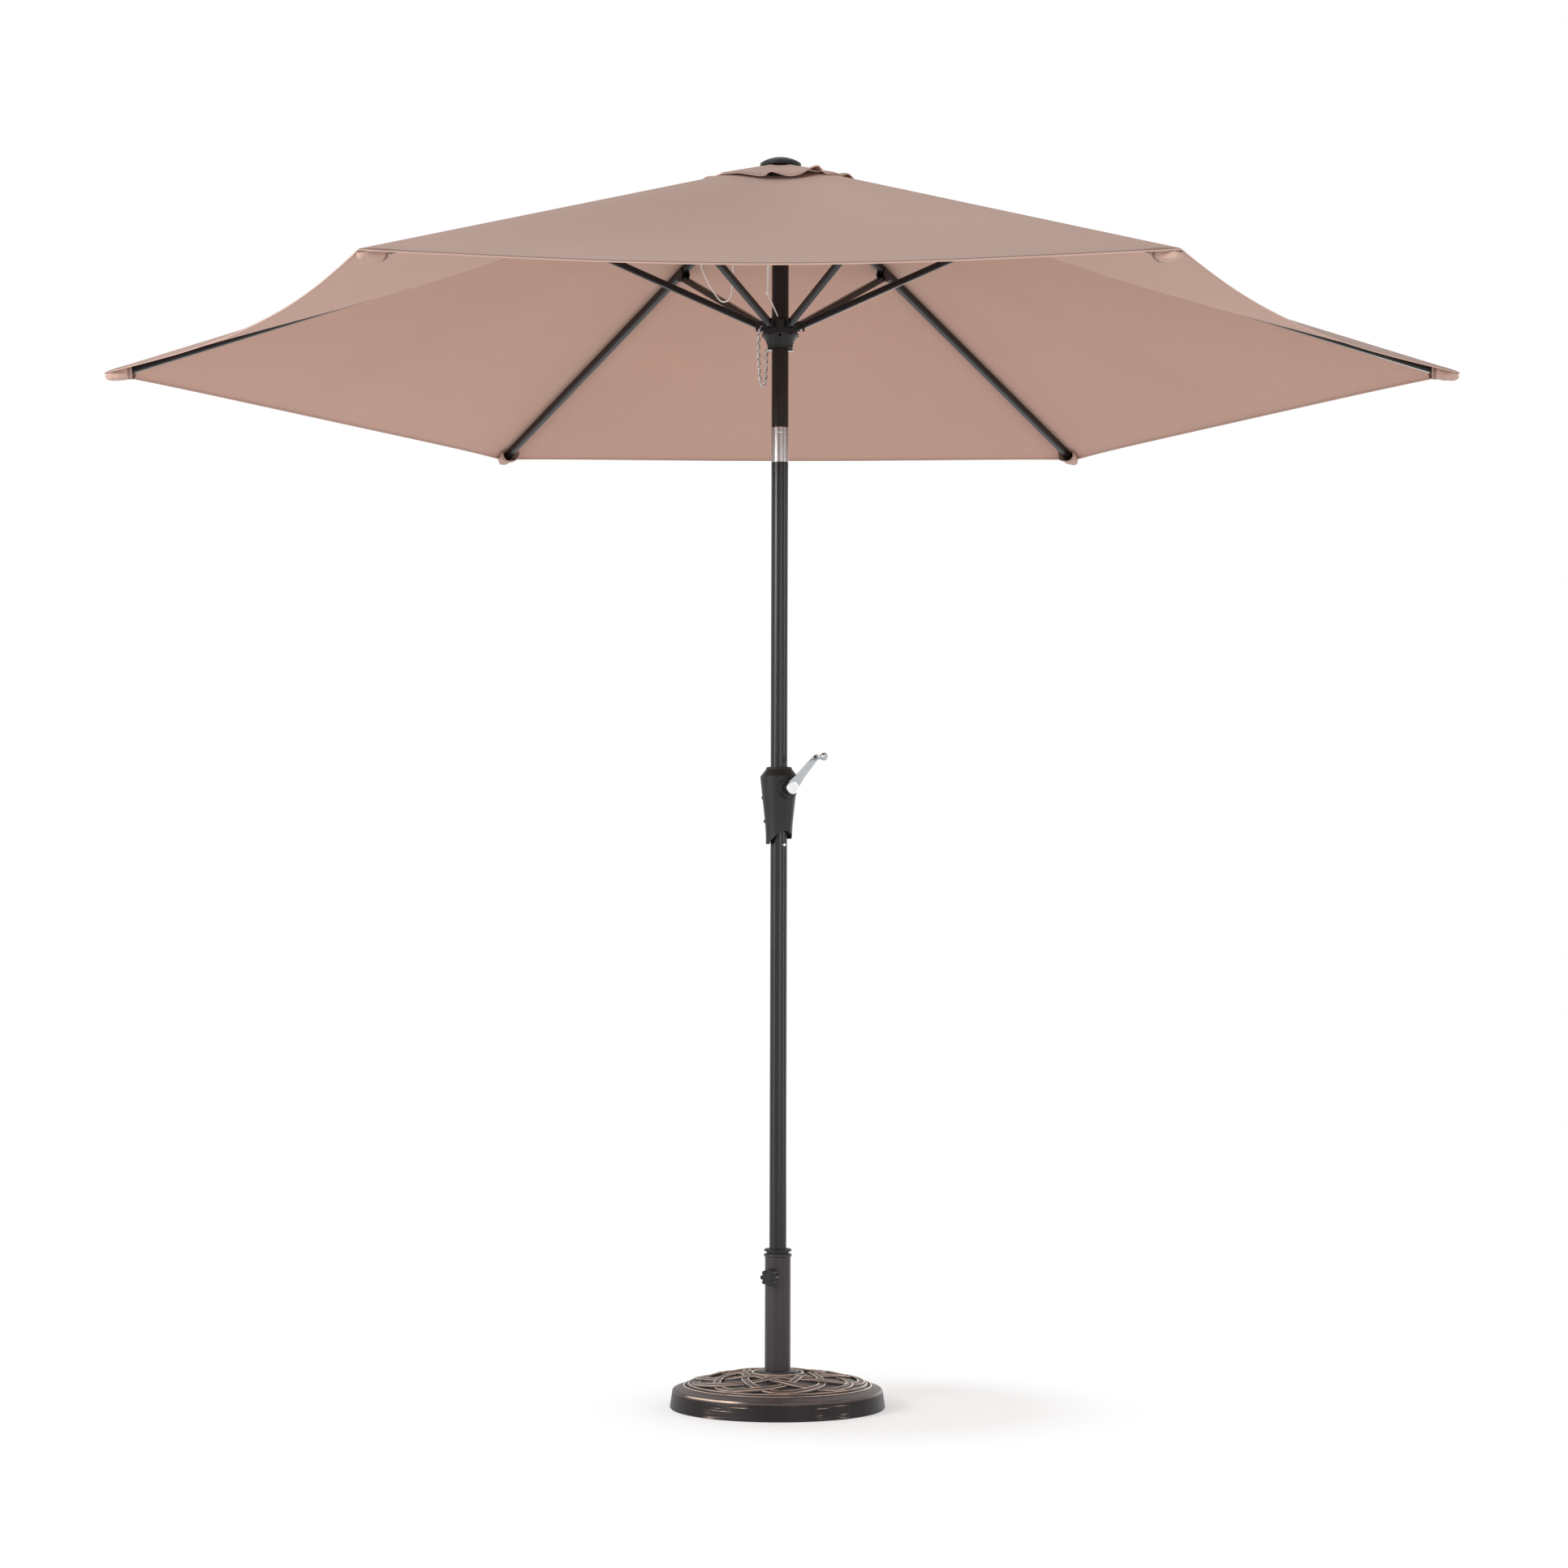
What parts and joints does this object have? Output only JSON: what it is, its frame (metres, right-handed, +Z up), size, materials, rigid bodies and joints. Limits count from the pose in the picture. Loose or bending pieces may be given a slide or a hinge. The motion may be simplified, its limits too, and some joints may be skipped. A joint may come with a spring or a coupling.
{
  "type": "patio umbrella with base",
  "caption": "Crank-lift patio umbrella with a six-sided vented cloth canopy, tilting mast and clamp tube on a round cast base.",
  "frame": {"origin": "on the floor, under the middle of the pole", "axes": "+Z up along the pole, +X along the rib that points right in the picture, -Y towards the viewer"},
  "size_m": [2.72, 2.3556, 2.494],
  "materials": {
    "canopy_cloth": "matte",
    "pole_black": "satin",
    "black_plastic": "satin",
    "base_bronze": "satin",
    "tube_bronze": "satin",
    "tilt_silver": "satin",
    "zinc_steel": "satin",
    "chrome": "polished",
    "white_cord": "matte"
  },
  "bodies": {
    "base": {"base_disc": "base_bronze", "base_bolts": "zinc_steel", "base_tube": "tube_bronze", "tube_flange": "tube_bronze", "clamp_nut": "tube_bronze"},
    "bushing": {"tube_bushing": "black_plastic"},
    "clamp_screw": {"clamp_screw": "zinc_steel"},
    "clamp_knob": {"clamp_knob": "black_plastic"},
    "pole": {"lower_pole": "pole_black", "pole_end_cap": "black_plastic", "pole_joiner": "zinc_steel", "upper_pole": "pole_black", "snap_spring": "zinc_steel", "crank_housing_front": "black_plastic", "crank_housing_rear": "black_plastic", "housing_screws": "zinc_steel", "shaft_bushes": "black_plastic", "tilt_lower_knuckle": "tilt_silver", "tilt_pin": "zinc_steel", "lower_cord": "white_cord"},
    "snap_button": {"snap_button": "zinc_steel"},
    "crank": {"crank_shaft": "zinc_steel", "crank_spool": "black_plastic", "cord_winding": "white_cord", "crank_arm": "chrome", "crank_cap": "chrome"},
    "crank_knob": {"crank_knob": "chrome"},
    "mast_top": {"tilt_upper_knuckle": "tilt_silver", "top_pole": "pole_black", "top_hub": "black_plastic", "hub_pins": "zinc_steel", "pulley_axle": "zinc_steel", "finial": "black_plastic", "vent_cap": "canopy_cloth", "slack_cord": "white_cord", "lift_cord": "white_cord"},
    "tilt_button": {"tilt_button": "black_plastic"},
    "safety_pin": {"safety_pin": "zinc_steel"},
    "cord_pulley": {"cord_pulley": "black_plastic"},
    "runner": {"runner": "black_plastic", "pin_chain": "zinc_steel"},
    "rib_1": {"rib_1": "pole_black", "canopy_panel_1": "canopy_cloth"},
    "strut_1": {"strut_1": "pole_black"},
    "rib_2": {"rib_2": "pole_black", "canopy_panel_2": "canopy_cloth"},
    "strut_2": {"strut_2": "pole_black"},
    "rib_3": {"rib_3": "pole_black", "canopy_panel_3": "canopy_cloth"},
    "strut_3": {"strut_3": "pole_black"},
    "rib_4": {"rib_4": "pole_black", "canopy_panel_4": "canopy_cloth"},
    "strut_4": {"strut_4": "pole_black"},
    "rib_5": {"rib_5": "pole_black", "canopy_panel_5": "canopy_cloth"},
    "strut_5": {"strut_5": "pole_black"},
    "rib_6": {"rib_6": "pole_black", "canopy_panel_6": "canopy_cloth"},
    "strut_6": {"strut_6": "pole_black"}
  },
  "joints": [
    {"name": "pole_turn", "type": "hinge", "parent": "base", "child": "bushing", "pos_m": [0, 0, 0.29], "axis": [0, 0, 1], "continuous": true},
    {"name": "pole_lift", "type": "slide", "parent": "bushing", "child": "pole", "axis": [0, 0, 1], "range_m": [0, 0.25]},
    {"name": "clamp_feed", "type": "slide", "parent": "base", "child": "clamp_screw", "axis": [-0.342, -0.9397, 0], "range_m": [0, 0.0045]},
    {"name": "clamp_turn", "type": "hinge", "parent": "clamp_screw", "child": "clamp_knob", "pos_m": [-0.01505, -0.04135, 0.259], "axis": [-0.342, -0.9397, 0], "range_deg": [0, 1080.54]},
    {"name": "snap_press", "type": "slide", "parent": "pole", "child": "snap_button", "axis": [-0.6157, 0.788, 0], "range_m": [0, 0.004], "stiffness_N_per_m": 900, "springref_m": -0.002, "deforming": ["snap_spring"]},
    {"name": "tilt", "type": "hinge", "parent": "pole", "child": "mast_top", "pos_m": [0, 0, 1.91], "axis": [-1, 0, 0], "range_deg": [0, 40], "deforming": ["lift_cord"]},
    {"name": "tilt_press", "type": "slide", "parent": "mast_top", "child": "tilt_button", "axis": [1, 0, 0], "range_m": [0, 0.003], "stiffness_N_per_m": 900, "springref_m": -0.002},
    {"name": "pin_pull", "type": "slide", "parent": "mast_top", "child": "safety_pin", "axis": [0.9659, 0.2588, 0], "range_m": [-0.06, 0], "deforming": ["pin_chain"]},
    {"name": "canopy_fold", "type": "hinge", "parent": "mast_top", "child": "rib_1", "pos_m": [0.034, 0, 2.461], "axis": [0, -1, 0], "range_deg": [-68.72, 0], "deforming": ["canopy_panel_1", "canopy_panel_2", "canopy_panel_3", "canopy_panel_4", "canopy_panel_5", "canopy_panel_6", "vent_cap", "lift_cord", "slack_cord", "pin_chain"]},
    {"name": "runner_slide", "type": "slide", "parent": "mast_top", "child": "runner", "axis": [0, 0, 1], "range_m": [-0.52076, 0]},
    {"name": "crank_turn", "type": "hinge", "parent": "pole", "child": "crank", "pos_m": [0.015, -0.02598, 1.223], "axis": [0.5, -0.866, 0], "range_deg": [0, 2688.06]},
    {"name": "knob_spin", "type": "hinge", "parent": "crank", "child": "crank_knob", "pos_m": [0.07415, -0.01493, 1.28493], "axis": [0.5, -0.866, 0], "continuous": true},
    {"name": "pulley_spin", "type": "hinge", "parent": "mast_top", "child": "cord_pulley", "pos_m": [-0.00512, -0.004, 2.435], "axis": [0.6157, -0.788, 0], "range_deg": [0, 1695.31]},
    {"name": "strut_fold_1", "type": "hinge", "parent": "rib_1", "child": "strut_1", "pos_m": [0.42264, 0, 2.32331], "axis": [0, -1, 0], "range_deg": [0, 133.9]},
    {"name": "rib_fold_2", "type": "hinge", "parent": "mast_top", "child": "rib_2", "pos_m": [0.017, 0.02944, 2.461], "axis": [0.866, -0.5, 0], "range_deg": [-68.75, 0]},
    {"name": "strut_fold_2", "type": "hinge", "parent": "rib_2", "child": "strut_2", "pos_m": [0.21132, 0.36602, 2.32331], "axis": [0.866, -0.5, 0], "range_deg": [0, 133.9]},
    {"name": "rib_fold_3", "type": "hinge", "parent": "mast_top", "child": "rib_3", "pos_m": [-0.017, 0.02944, 2.461], "axis": [0.866, 0.5, 0], "range_deg": [-68.75, 0]},
    {"name": "strut_fold_3", "type": "hinge", "parent": "rib_3", "child": "strut_3", "pos_m": [-0.21132, 0.36602, 2.32331], "axis": [0.866, 0.5, 0], "range_deg": [0, 133.9]},
    {"name": "rib_fold_4", "type": "hinge", "parent": "mast_top", "child": "rib_4", "pos_m": [-0.034, 0, 2.461], "axis": [0, 1, 0], "range_deg": [-68.75, 0]},
    {"name": "strut_fold_4", "type": "hinge", "parent": "rib_4", "child": "strut_4", "pos_m": [-0.42264, 0, 2.32331], "axis": [0, 1, 0], "range_deg": [0, 133.9]},
    {"name": "rib_fold_5", "type": "hinge", "parent": "mast_top", "child": "rib_5", "pos_m": [-0.017, -0.02944, 2.461], "axis": [-0.866, 0.5, 0], "range_deg": [-68.75, 0]},
    {"name": "strut_fold_5", "type": "hinge", "parent": "rib_5", "child": "strut_5", "pos_m": [-0.21132, -0.36602, 2.32331], "axis": [-0.866, 0.5, 0], "range_deg": [0, 133.9]},
    {"name": "rib_fold_6", "type": "hinge", "parent": "mast_top", "child": "rib_6", "pos_m": [0.017, -0.02944, 2.461], "axis": [-0.866, -0.5, 0], "range_deg": [-68.75, 0]},
    {"name": "strut_fold_6", "type": "hinge", "parent": "rib_6", "child": "strut_6", "pos_m": [0.21132, -0.36602, 2.32331], "axis": [-0.866, -0.5, 0], "range_deg": [0, 133.9]}
  ],
  "couplings": [
    {"joint": "clamp_turn", "follows": "clamp_feed", "rad_per_m": 4188.8},
    {"joint": "runner_slide", "follows": "canopy_fold", "m_per_rad": 0.434},
    {"joint": "crank_turn", "follows": "canopy_fold", "ratio": -39.099},
    {"joint": "pulley_spin", "follows": "canopy_fold", "ratio": -24.659},
    {"joint": "strut_fold_1", "follows": "canopy_fold", "ratio": -1.9476},
    {"joint": "rib_fold_2", "follows": "canopy_fold", "ratio": 1},
    {"joint": "strut_fold_2", "follows": "canopy_fold", "ratio": -1.9476},
    {"joint": "rib_fold_3", "follows": "canopy_fold", "ratio": 1},
    {"joint": "strut_fold_3", "follows": "canopy_fold", "ratio": -1.9476},
    {"joint": "rib_fold_4", "follows": "canopy_fold", "ratio": 1},
    {"joint": "strut_fold_4", "follows": "canopy_fold", "ratio": -1.9476},
    {"joint": "rib_fold_5", "follows": "canopy_fold", "ratio": 1},
    {"joint": "strut_fold_5", "follows": "canopy_fold", "ratio": -1.9476},
    {"joint": "rib_fold_6", "follows": "canopy_fold", "ratio": 1},
    {"joint": "strut_fold_6", "follows": "canopy_fold", "ratio": -1.9476}
  ]
}
